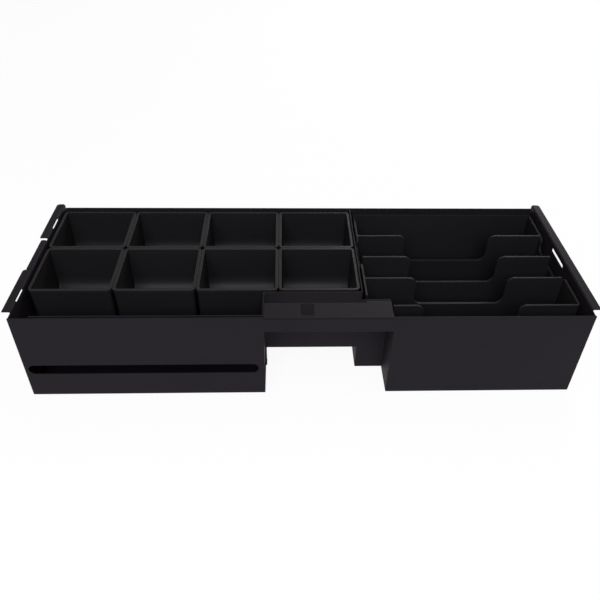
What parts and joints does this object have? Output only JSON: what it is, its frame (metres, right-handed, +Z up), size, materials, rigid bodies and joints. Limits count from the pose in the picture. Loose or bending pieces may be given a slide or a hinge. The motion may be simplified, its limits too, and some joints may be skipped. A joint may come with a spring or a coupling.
{
  "type": "cash register tray",
  "caption": "Black steel cash register tray with lift-out coin cups, a scooped note insert, a cheque slot and a lock recess in its front wall.",
  "frame": {"origin": "on the surface that the tray stands on, under the middle of its outline", "axes": "+X to the right, towards the note insert; +Y from the front wall with the lock recess to the back wall; +Z up"},
  "size_m": [0.457, 0.161, 0.0845],
  "materials": {
    "powder_coated_steel": "fine-textured satin black powder coat on 1 mm steel sheet",
    "moulded_plastic": "satin black injection-moulded plastic with a fine spark texture"
  },
  "bodies": {
    "tray": {"tray_shell": "powder_coated_steel", "left_end_panel": "powder_coated_steel", "right_end_panel": "powder_coated_steel", "centre_partition": "powder_coated_steel", "coin_shelf": "powder_coated_steel", "lock_pocket": "powder_coated_steel", "lock_bridge": "powder_coated_steel"},
    "coin_cup_front_1": {"coin_cup_front_1": "moulded_plastic"},
    "coin_cup_front_2": {"coin_cup_front_2": "moulded_plastic"},
    "coin_cup_front_3": {"coin_cup_front_3": "moulded_plastic"},
    "coin_cup_front_4": {"coin_cup_front_4": "moulded_plastic"},
    "coin_cup_back_1": {"coin_cup_back_1": "moulded_plastic"},
    "coin_cup_back_2": {"coin_cup_back_2": "moulded_plastic"},
    "coin_cup_back_3": {"coin_cup_back_3": "moulded_plastic"},
    "coin_cup_back_4": {"coin_cup_back_4": "moulded_plastic"},
    "note_insert": {"note_insert": "moulded_plastic"}
  },
  "joints": [
    {"name": "coin_cup_front_1_lift", "type": "slide", "parent": "tray", "child": "coin_cup_front_1", "axis": [0, 0, 1], "range_m": [0, 0.05]},
    {"name": "coin_cup_front_2_lift", "type": "slide", "parent": "tray", "child": "coin_cup_front_2", "axis": [0, 0, 1], "range_m": [0, 0.05]},
    {"name": "coin_cup_front_3_lift", "type": "slide", "parent": "tray", "child": "coin_cup_front_3", "axis": [0, 0, 1], "range_m": [0, 0.05]},
    {"name": "coin_cup_front_4_lift", "type": "slide", "parent": "tray", "child": "coin_cup_front_4", "axis": [0, 0, 1], "range_m": [0, 0.05]},
    {"name": "coin_cup_back_1_lift", "type": "slide", "parent": "tray", "child": "coin_cup_back_1", "axis": [0, 0, 1], "range_m": [0, 0.05]},
    {"name": "coin_cup_back_2_lift", "type": "slide", "parent": "tray", "child": "coin_cup_back_2", "axis": [0, 0, 1], "range_m": [0, 0.05]},
    {"name": "coin_cup_back_3_lift", "type": "slide", "parent": "tray", "child": "coin_cup_back_3", "axis": [0, 0, 1], "range_m": [0, 0.05]},
    {"name": "coin_cup_back_4_lift", "type": "slide", "parent": "tray", "child": "coin_cup_back_4", "axis": [0, 0, 1], "range_m": [0, 0.05]},
    {"name": "note_insert_lift", "type": "slide", "parent": "tray", "child": "note_insert", "axis": [0, 0, 1], "range_m": [0, 0.085]}
  ]
}
